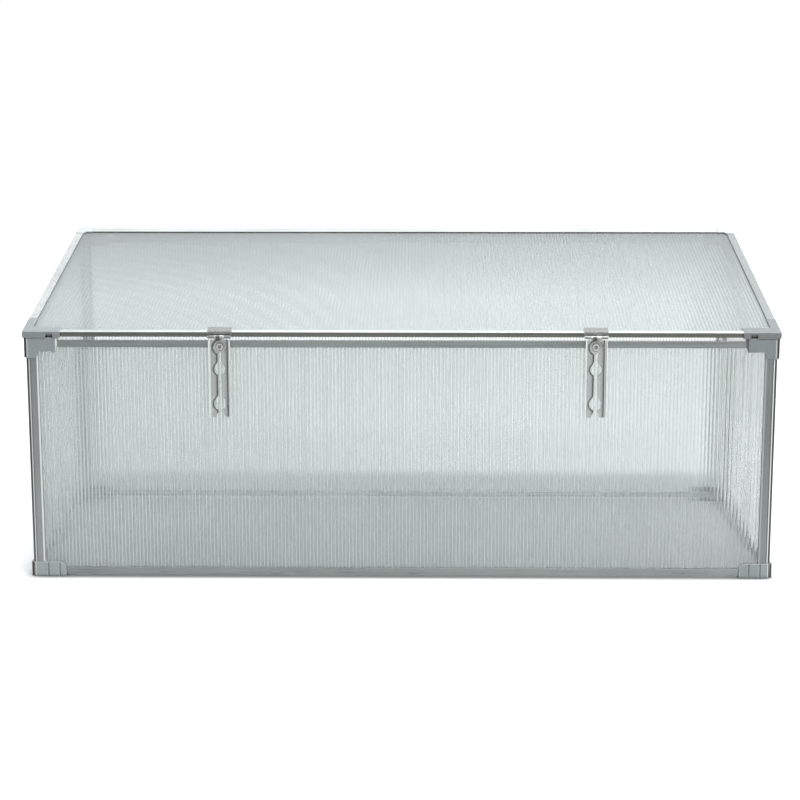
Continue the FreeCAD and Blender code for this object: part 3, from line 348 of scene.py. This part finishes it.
def sheet(name, node, thick, across, first_web, milk=0.15, tint=(0.928, 0.938, 0.934),
          white=(0.79, 0.81, 0.805), bend=0.8, lines=1.0, fade=None, cover=None, webs=0.20, fall=None, shine=1.0, face_on=1.0, haze_thin_end=None):
    """Twin-wall polycarbonate on its real skins and webs.

    thick is the sheet's normal and across the direction over the flutes.
    The outer faces bend light sideways only, as the flutes do, so what is
    behind smears across the flutes and stays sharp along them. Haze is
    strongest where a web meets its skin, and gathers on the webs."""
    thick, across = Vector(thick).normalized(), Vector(across).normalized()
    along = thick.cross(across)
    depth = [v.co.dot(thick) for v in NODES[node].data.vertices]
    lo, hi = min(depth), max(depth)
    mat, g = material(name)
    geo = g.add("ShaderNodeNewGeometry")
    tc = g.add("ShaderNodeTexCoord")
    obj = tc.outputs["Object"]

    def dot(a, v):
        return g.add("ShaderNodeVectorMath", {0: a, 1: tuple(v)}, operation="DOT_PRODUCT").outputs["Value"]

    deep = dot(obj, thick)
    over = dot(obj, across)
    run = dot(obj, along)
    skin = g.math("ADD", g.math("LESS_THAN", deep, lo + 0.0002), g.math("GREATER_THAN", deep, hi - 0.0002), clamp=True)
    web = g.math("GREATER_THAN", g.math("ABSOLUTE", dot(tc.outputs["Normal"], across)), 0.7)
    turn = g.math("MULTIPLY", g.math("SUBTRACT", over, first_web), 2.0 * math.pi / 0.006)
    at_web = g.math("MULTIPLY_ADD", g.math("COSINE", turn), 0.5, 0.5)
    place = g.add("ShaderNodeCombineXYZ", {0: over, 1: run, 2: deep}).outputs[0]
    streak = g.noise(g.mapped(place, (170.0, 0.25, 1.0)), 1.0, 3.0, 0.6)
    ripple = g.noise(g.mapped(place, (1500.0, 0.3, 1.0)), 1.0, 2.0, 0.6)
    drift = g.noise(g.mapped(place, (3.0, 55.0, 1.0)), 1.0, 2.0, 0.6)
    cloud = g.noise(place, 4.0, 3.0, 0.5)
    dust = g.noise(obj, 900.0, 2.0, 0.6)

    # haze
    line = g.math("MULTIPLY", g.math("SUBTRACT", g.math("POWER", at_web, 1.6), 0.435), 1.15 * lines)
    if fade:
        line = g.math("MULTIPLY", line, g.span(over, *fade))
    haze = g.math("ADD", line, 1.0)
    haze = g.math("MULTIPLY", haze, g.span(streak, 0.3, 0.7, 0.96, 1.04))
    haze = g.math("MULTIPLY", haze, g.span(cloud, 0.3, 0.7, 0.85, 1.15))
    haze = g.math("MULTIPLY", haze, milk)
    # painted light: haze thinned towards the right along across, and further at the right end, so the sheet reads
    # darker on the left and brighter on the right
    if cover:
        haze = g.math("MULTIPLY", haze, g.span(over, *cover))
    if haze_thin_end:
        haze = g.math("MULTIPLY", haze, g.span(over, *haze_thin_end))
    edge_on = g.add("ShaderNodeLayerWeight", {"Blend": 0.5}).outputs["Facing"]
    if face_on != 1.0:
        haze = g.math("MULTIPLY", haze, g.span(edge_on, 0.40, 0.75, face_on, 1.0))
    haze = g.math("ADD", haze, g.math("MULTIPLY", g.math("GREATER_THAN", dust, 0.74), 0.04))
    haze = g.math("MULTIPLY", haze, skin)
    haze = g.math("ADD", haze, g.math("MULTIPLY", web, webs), clamp=True)

    # darker towards one end of the flutes, in the through colour and the haze tone
    end_darkening = g.span(run, *fall) if fall else None

    def darken_to_end(colour):
        if end_darkening is None:
            return colour
        grey = g.add("ShaderNodeCombineColor", {0: end_darkening, 1: end_darkening, 2: end_darkening}).outputs[0]
        return g.mix_rgb(1.0, colour, grey, "MULTIPLY")

    # light that goes through
    side = g.math("ADD", g.math("MULTIPLY", g.math("SINE", turn), 0.95),
                  g.math("MULTIPLY", g.math("SUBTRACT", ripple, 0.5), 0.55))
    steep = g.span(edge_on, 0.55, 0.78, bend, 0.0)
    side = g.math("MULTIPLY", side, steep)
    if fade:
        side = g.math("MULTIPLY", side, g.span(over, *fade))
    updown = g.math("MULTIPLY", g.math("SUBTRACT", drift, 0.5), g.math("MULTIPLY", steep, 0.12))
    tilt = g.add("ShaderNodeVectorMath", {0: tuple(across), "Scale": side}, operation="SCALE").outputs[0]
    tilt2 = g.add("ShaderNodeVectorMath", {0: tuple(along), "Scale": updown}, operation="SCALE").outputs[0]
    bent = g.add("ShaderNodeVectorMath", {0: geo.outputs["Normal"], 1: tilt}, operation="ADD").outputs[0]
    bent = g.add("ShaderNodeVectorMath", {0: bent, 1: tilt2}, operation="ADD").outputs[0]
    bent = g.add("ShaderNodeVectorMath", {0: bent}, operation="NORMALIZE").outputs[0]
    clear = g.add("ShaderNodeBsdfTransparent", {"Color": rgb(*tint)}).outputs[0]
    refract = g.add("ShaderNodeBsdfRefraction", {"Color": darken_to_end(rgb(*tint)), "IOR": 1.08, "Roughness": 0.0,
                                                 "Normal": bent}).outputs[0]
    rays = g.add("ShaderNodeLightPath")
    plain = g.math("MAXIMUM", rays.outputs["Is Shadow Ray"], rays.outputs["Is Diffuse Ray"])
    through = g.mix_shader(g.math("MULTIPLY", skin, g.math("SUBTRACT", 1.0, plain)), clear, refract)

    # haze body
    tone = g.ramp(cloud, [(0.3, tuple(c * 0.97 for c in white)), (0.7, tuple(min(1.0, c * 1.03) for c in white))])
    tone = darken_to_end(tone)
    diffuse = g.add("ShaderNodeBsdfDiffuse", {"Color": tone}).outputs[0]
    glow = g.add("ShaderNodeBsdfTranslucent", {"Color": tone}).outputs[0]
    body = g.mix_shader(0.55, diffuse, glow)
    mixed = g.mix_shader(haze, through, body)

    # shine of the two faces of a skin
    facing = g.add("ShaderNodeLayerWeight", {"Blend": 0.5}).outputs["Facing"]
    one = g.math("MULTIPLY_ADD", g.math("POWER", facing, 5.0), 0.94, 0.04)
    two = g.math("SUBTRACT", 1.0, g.math("POWER", g.math("SUBTRACT", 1.0, one), 2.0))
    two = g.math("MULTIPLY", two, g.math("MULTIPLY", skin, shine))
    wave = g.math("ADD", g.math("MULTIPLY", g.math("COSINE", turn), 0.6), g.math("MULTIPLY", streak, 0.7))
    if fade:
        wave = g.math("MULTIPLY", wave, g.span(over, *fade))
    bump = g.add("ShaderNodeBump", {"Strength": 0.25, "Distance": 0.00006, "Height": wave})
    gloss = g.add("ShaderNodeBsdfGlossy", {"Color": rgb(0.95, 0.98, 0.98), "Roughness": 0.12,
                                           "Normal": bump.outputs[0]}).outputs[0]
    g.out(g.mix_shader(two, mixed, gloss))
    return mat


SLOPE = math.radians(11.551)
LID_UP = (0.0, -math.sin(SLOPE), math.cos(SLOPE))
LID_FRONT = (0.0, -math.cos(SLOPE), -math.sin(SLOPE))

post_lo, post_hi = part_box("post_front_left")
POST_CORNER = (-post_lo[0], -post_lo[1], post_hi[0] - post_lo[0])
(cap_lo, cap_hi), foot_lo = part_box("corner_front_left"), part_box("foot_front_left")[0]
CAP_CORNER = (-cap_lo[0], -cap_lo[1], post_lo[0] - cap_lo[0] + 0.0032)
FOOT_CORNER = (-foot_lo[0], -foot_lo[1], post_lo[0] - foot_lo[0] + 0.0042)
STUD_Z = 0.3946
HOLES = [(STUD_Z, 0.0110)]
for drop, r in ((0.0368, 0.0096), (0.0950, 0.0106)):
    HOLES += [(STUD_Z - drop, r), (STUD_Z - drop + 0.55 * r, 0.68 * r)]
STAY = {n: (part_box(n)[0][0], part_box(n)[1][0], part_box(n)[0][1], 0.0067, HOLES) for n in ("stay_left", "stay_right")}
# painted shade: on the lid rails, faces that look forward and down or to either side are darkened; LID_TONE is pale so
# the rail tops read as a painted highlight
LID_SHADES = [(LID_FRONT, 1.0, (0.27, 0.26, 0.23)), ((1.0, 0.0, 0.0), 0.8, (0.4, 0.4, 0.38)),
              ((-1.0, 0.0, 0.0), 0.8, (0.4, 0.4, 0.38))]
LID_TONE = (0.88, 0.92, 0.905)

MATS = {
    "alu_x": aluminium("aluminium_x", "x"),
    "alu_y": aluminium("aluminium_y", "y"),
    "alu_z": aluminium("aluminium_z", "z", corner=POST_CORNER),
    # the right post's copy is darker, with a dimmer lip, as painted shade; the rear rail and post copies are paler as
    # painted light
    "alu_z_right": aluminium("aluminium_z_right", "z", (0.40, 0.43, 0.42), corner=POST_CORNER, lip_tone=0.52),
    "alu_rear_x": aluminium("aluminium_rear_x", "x", (0.93, 0.97, 0.975)),
    "alu_rear_z": aluminium("aluminium_rear_z", "z", (0.74, 0.78, 0.77), corner=POST_CORNER),
    "alu_lid_x": aluminium("aluminium_lid_x", "x", LID_TONE, shades=LID_SHADES),
    # the right lid rail's copy is darker than the left one as painted shade; the dark edge colour on the side and rear
    # lid rails is a painted shade line
    "alu_lid_left": aluminium("aluminium_lid_left", "y", (0.80, 0.835, 0.825), edge=0.0011, shades=LID_SHADES,
                              edge_paint=(0.30, 0.32, 0.31), edge_paint_amount=0.8),
    "alu_lid_right": aluminium("aluminium_lid_right", "y", (0.47, 0.50, 0.49), edge=0.0011, shades=LID_SHADES,
                               edge_paint=(0.22, 0.235, 0.225), edge_paint_amount=0.85),
    "alu_lid_rear": aluminium("aluminium_lid_rear", "x", LID_TONE, edge=0.0011, shades=LID_SHADES,
                              edge_paint=(0.30, 0.32, 0.31), edge_paint_amount=0.8),
    # the right caps, feet and lid corners are darker copies as painted shade; the caps' end bands are a painted
    # highlight on the left and painted shade on the right
    "corner": moulded("moulded_grey", (0.30, 0.333, 0.343), corner=CAP_CORNER, end=(cap_hi[0] - 0.0032, cap_hi[0] - 0.0024, (0.86, 0.88, 0.88))),
    "foot": moulded("moulded_grey_foot", (0.41, 0.45, 0.455), wear_and_highlight_tone=(0.96, 0.98, 0.98), corner=FOOT_CORNER),
    "foot_right": moulded("moulded_grey_foot_right", (0.345, 0.378, 0.38), wear_and_highlight_tone=(0.96, 0.98, 0.98), corner=FOOT_CORNER),
    "corner_right": moulded("moulded_grey_right", (0.24, 0.266, 0.274), corner=CAP_CORNER, end=(0.0046 - cap_hi[0], 0.0032 - cap_hi[0], (0.085, 0.09, 0.085))),
    "lid_corner": moulded("moulded_grey_lid", (0.28, 0.304, 0.31), 0.40, 0.5),
    "lid_corner_right": moulded("moulded_grey_lid_right", (0.215, 0.232, 0.235), 0.40, 0.5),
    "lid_end": moulded("moulded_grey_pale", (0.56, 0.60, 0.60), 0.40, 0.5),
    "bracket": pressed("pressed_bracket", (0.34, 0.36, 0.35)),
    "stay_left": pressed("pressed_strip_left", (0.70, 0.72, 0.70), channel=STAY["stay_left"]),
    "stay_right": pressed("pressed_strip_right", (0.70, 0.72, 0.70), channel=STAY["stay_right"]),
    "washer": plated("zinc_washer", (0.95, 0.96, 0.94), 0.95, 0.0011, 0.25),
    "nut": plated("zinc_nut", (0.99, 0.99, 0.98), 0.6, 0.0006, 0.2),
    "bolt": plated("zinc_bolt", (0.34, 0.34, 0.33), 0.5),
    "plated": plated("zinc_plate", (0.92, 0.92, 0.90)),
    "sheet_front": sheet("twin_wall_front", "panel_front", (0, 1, 0), (1, 0, 0), 0.003, milk=0.26, cover=(-0.6, 0.6, 1.28, 0.52),
                         tint=(0.946, 0.953, 0.950), white=(0.82, 0.84, 0.832), lines=1.2, haze_thin_end=(0.47, 0.57, 1.0, 0.35)),
    "sheet_rear": sheet("twin_wall_rear", "panel_rear", (0, 1, 0), (1, 0, 0), 0.003, milk=0.20, cover=(-0.6, 0.6, 1.25, 0.60),
                        tint=(0.946, 0.954, 0.951), white=(0.82, 0.842, 0.834)),
    # the right side sheet has less haze and a paler tone than the left one: painted light on the right side
    "sheet_left": sheet("twin_wall_left", "panel_left", (1, 0, 0), (0, 1, 0), 0.005165, milk=0.08, webs=0.012, shine=0.40, face_on=2.6,
                        tint=(0.985, 0.990, 0.992), white=(0.90, 0.925, 0.93)),
    "sheet_right": sheet("twin_wall_right", "panel_right", (1, 0, 0), (0, 1, 0), 0.005165, milk=0.03, webs=0.004, shine=0.15, face_on=6.5,
                         tint=(0.997, 0.998, 0.998), white=(0.96, 0.97, 0.965)),
    "sheet_lid": sheet("twin_wall_lid", "lid_panel", LID_UP, (1, 0, 0), 0.003, milk=0.24, tint=(0.925, 0.936, 0.936),
                       white=(0.78, 0.805, 0.81), bend=0.6, lines=2.1, fade=(-0.15, 0.35, 0.06, 1.0), cover=(-0.6, 0.6, 1.14, 0.56),
                       fall=(0.0, 0.40, 1.0, 0.66)),
}


def pick(node):
    if node == "lid_panel":
        return "sheet_lid"
    if node.startswith("panel_"):
        return "sheet_" + node[6:]
    if node == "lid_rail_rear":
        return "alu_lid_rear"
    if node.startswith("lid_rail"):
        return {"lid_rail_front": "alu_lid_x", "lid_rail_left": "alu_lid_left"}.get(node, "alu_lid_right")
    if node in ("rail_rear_bottom", "rail_rear_top"):
        return "alu_rear_x"
    if node.startswith("post_"):
        return "alu_rear_z" if "rear" in node else "alu_z_right" if "right" in node else "alu_z"
    if node.startswith(("rail_left", "rail_right")):
        return "alu_y"
    if node.startswith("rail_"):
        return "alu_x"
    if node.startswith("corner_"):
        return "corner_right" if "right" in node else "corner"
    if node.startswith("foot_"):
        return "foot_right" if "right" in node else "foot"
    if node.startswith("lid_corner_screws"):
        return "plated"
    if node.startswith("lid_corner_rear"):
        return "lid_end"
    if node.startswith("lid_corner"):
        return "lid_corner_right" if "right" in node else "lid_corner"
    if node in ("stay_left", "stay_right"):
        return node
    if node.startswith("stay_bracket"):
        return "bracket"
    if node.startswith("stay_stud"):
        return {"stay_stud_washers": "washer", "stay_stud_nuts": "nut"}.get(node, "bolt")
    return "plated"


for name, ob in NODES.items():
    mat = MATS[pick(name)]
    if not ob.data.materials:
        ob.data.materials.append(mat)
    for i in range(len(ob.material_slots)):
        ob.material_slots[i].material = mat

# ------------------------------------------------------------ floor, light
fmat, g = material("floor_paper")
obj = g.add("ShaderNodeTexCoord").outputs["Object"]
soft = g.noise(obj, 1.2, 3.0, 0.5)
tone = g.ramp(soft, [(0.3, (0.835, 0.84, 0.84)), (0.7, (0.85, 0.85, 0.85))])
far = g.add("ShaderNodeVectorMath", {0: obj}, operation="LENGTH").outputs["Value"]
grey = g.span(far, 0.5, 2.4, 0.50, 0.30)
grey = g.mix_rgb(1.0, g.ramp(soft, [(0.3, (0.97, 0.985, 1.0)), (0.7, (1.0, 1.0, 1.0))]),
                 g.add("ShaderNodeCombineColor", {0: grey, 1: grey, 2: grey}).outputs[0], "MULTIPLY")
rays = g.add("ShaderNodeLightPath")
seen = g.math("MAXIMUM", rays.outputs["Is Camera Ray"], rays.outputs["Is Transmission Ray"])
tone = g.mix_rgb(seen, grey, tone)
at = g.add("ShaderNodeSeparateXYZ", {"Vector": obj})
# painted shadow: the floor inside the footprint and a little behind it is darkened, from 0.47 at the front to 0.64 at
# the rear; for rays through the sheets the dark strip behind reaches further
inside = g.math("MULTIPLY", g.span(g.math("ABSOLUTE", at.outputs[0]), cad_hi[0] + 0.01, cad_hi[0] - 0.02, 0.0, 1.0),
                g.math("MULTIPLY", g.span(at.outputs[1], cad_lo[1] + 0.002, cad_lo[1] + 0.012, 0.0, 1.0),
                       g.math("MAXIMUM", g.span(at.outputs[1], cad_hi[1] + 0.20, cad_hi[1] + 0.02, 0.0, 1.0),
                              g.math("MULTIPLY", rays.outputs["Is Transmission Ray"],
                                     g.span(at.outputs[1], cad_hi[1] + 0.25, cad_hi[1] + 0.18, 0.0, 1.0)))))
shade = g.span(at.outputs[1], cad_lo[1], cad_hi[1], 0.47, 0.64)
shade = g.math("SUBTRACT", 1.0, g.math("MULTIPLY", inside, g.math("SUBTRACT", 1.0, shade)))
tone = g.mix_rgb(1.0, tone, g.add("ShaderNodeCombineColor", {0: shade, 1: shade, 2: shade}).outputs[0], "MULTIPLY")
# painted light: the paper glows softly in the open; left without the glow under and just behind the object, the floor
# there reads as a painted shadow
spot = g.add("ShaderNodeSeparateXYZ", {"Vector": obj})
aside = g.span(g.math("ABSOLUTE", spot.outputs[0]), cad_hi[0] - 0.02, cad_hi[0] + 0.05, 0.0, 1.0)
ahead = g.span(spot.outputs[1], cad_lo[1] + 0.004, cad_lo[1] - 0.010, 0.0, 1.0)
astern = g.span(spot.outputs[1], cad_hi[1] + 0.05, cad_hi[1] + 0.26, 0.0, 1.0)
behind_it = g.span(spot.outputs[1], cad_hi[1] + 0.18, cad_hi[1] + 0.25, 0.0, 1.0)
astern = g.math("MULTIPLY_ADD", rays.outputs["Is Transmission Ray"], g.math("SUBTRACT", behind_it, astern), astern)
open_floor = g.math("MAXIMUM", g.math("MAXIMUM", aside, ahead), astern)
glow = g.math("MULTIPLY", open_floor, 0.34)
grain = g.noise(obj, 700.0, 2.0, 0.5)
fb = g.add("ShaderNodeBump", {"Strength": 0.05, "Distance": 0.0002, "Height": grain})
g.out(g.add("ShaderNodeBsdfPrincipled", {
    "Base Color": tone, "Roughness": 0.85, "Specular IOR Level": 0.1, "Normal": fb.outputs[0],
    "Emission Color": rgb(1.0, 1.0, 1.0), "Emission Strength": g.math("MULTIPLY", seen, glow)}).outputs[0])
mesh = bpy.data.meshes.new("floor")
R = 30.0
mesh.from_pydata([(-R, -R, 0), (R, -R, 0), (R, R, 0), (-R, R, 0)], [], [(0, 1, 2, 3)])
mesh.materials.append(fmat)
floor = bpy.data.objects.new("floor", mesh)
floor.location.z = -0.0004
scene.collection.objects.link(floor)

world = bpy.data.worlds.new("studio")
scene.world = world
world.use_nodes = True
wg = Graph(world.node_tree)
direction = wg.add("ShaderNodeTexCoord").outputs["Generated"]
dxyz = wg.add("ShaderNodeSeparateXYZ", {"Vector": direction})
dx, dy, dz = dxyz.outputs[0], dxyz.outputs[1], dxyz.outputs[2]
# level round the horizon: dim on the near side, white behind, a black card on the left and a bright one on the right
ring = wg.span(dy, -0.5, 0.5, 0.42, 1.0)
left_card = wg.span(dx, -0.55, -0.90, 1.0, 0.14)
right_card = wg.span(dx, 0.35, 0.85, 1.0, 2.1)
ring = wg.math("MULTIPLY", ring, wg.math("MULTIPLY", left_card, right_card))
# overhead: a wide soft box, stronger to the right
over = wg.span(dx, -0.20, 0.20, 0.86, 1.16)
high = wg.span(dz, 0.05, 0.50, 0.0, 1.0)
level = wg.math("ADD", wg.math("MULTIPLY", ring, wg.math("SUBTRACT", 1.0, high)), wg.math("MULTIPLY", over, high))
lit = wg.add("ShaderNodeBackground", {"Color": rgb(0.97, 0.99, 1.0), "Strength": level}).outputs[0]
plain = wg.add("ShaderNodeBackground", {"Color": rgb(1.0, 1.0, 1.0), "Strength": 1.0}).outputs[0]
rays = wg.add("ShaderNodeLightPath")
behind = wg.math("MULTIPLY", rays.outputs["Is Transmission Ray"], wg.span(dz, 0.03, 0.35, 1.0, 0.0))
ray = wg.math("MAXIMUM", rays.outputs["Is Camera Ray"], behind)
mixed = wg.mix_shader(ray, lit, plain)
wout = wg.n.new("ShaderNodeOutputWorld")
wg.tree.links.new(mixed, wout.inputs[0])


def area(name, where, aim, wide, tall, power, colour=(1.0, 1.0, 1.0)):
    data = bpy.data.lights.new(name, "AREA")
    data.shape = "RECTANGLE"
    data.size, data.size_y = wide, tall
    data.energy = power
    data.color = colour
    ob = bpy.data.objects.new(name, data)
    ob.location = where
    ob.rotation_mode = "QUATERNION"
    ob.rotation_quaternion = (Vector(aim) - Vector(where)).to_track_quat("-Z", "Y")
    scene.collection.objects.link(ob)
    return ob


area("key", (0.9, -1.9, 2.1), (0.0, -0.2, 0.25), 1.2, 1.2, 26.0)
area("top", (0.3, 0.5, 3.0), (0.0, 0.0, 0.2), 3.0, 1.6, 45.0, (0.97, 0.99, 1.0))

scene.view_settings.view_transform = "Standard"
scene.view_settings.look = "None"
scene.cycles.max_bounces = 20
scene.cycles.diffuse_bounces = 4
scene.cycles.glossy_bounces = 6
scene.cycles.transmission_bounces = 16
scene.cycles.transparent_max_bounces = 64
scene.cycles.use_denoising = True
scene.cycles.sample_clamp_indirect = 6.0
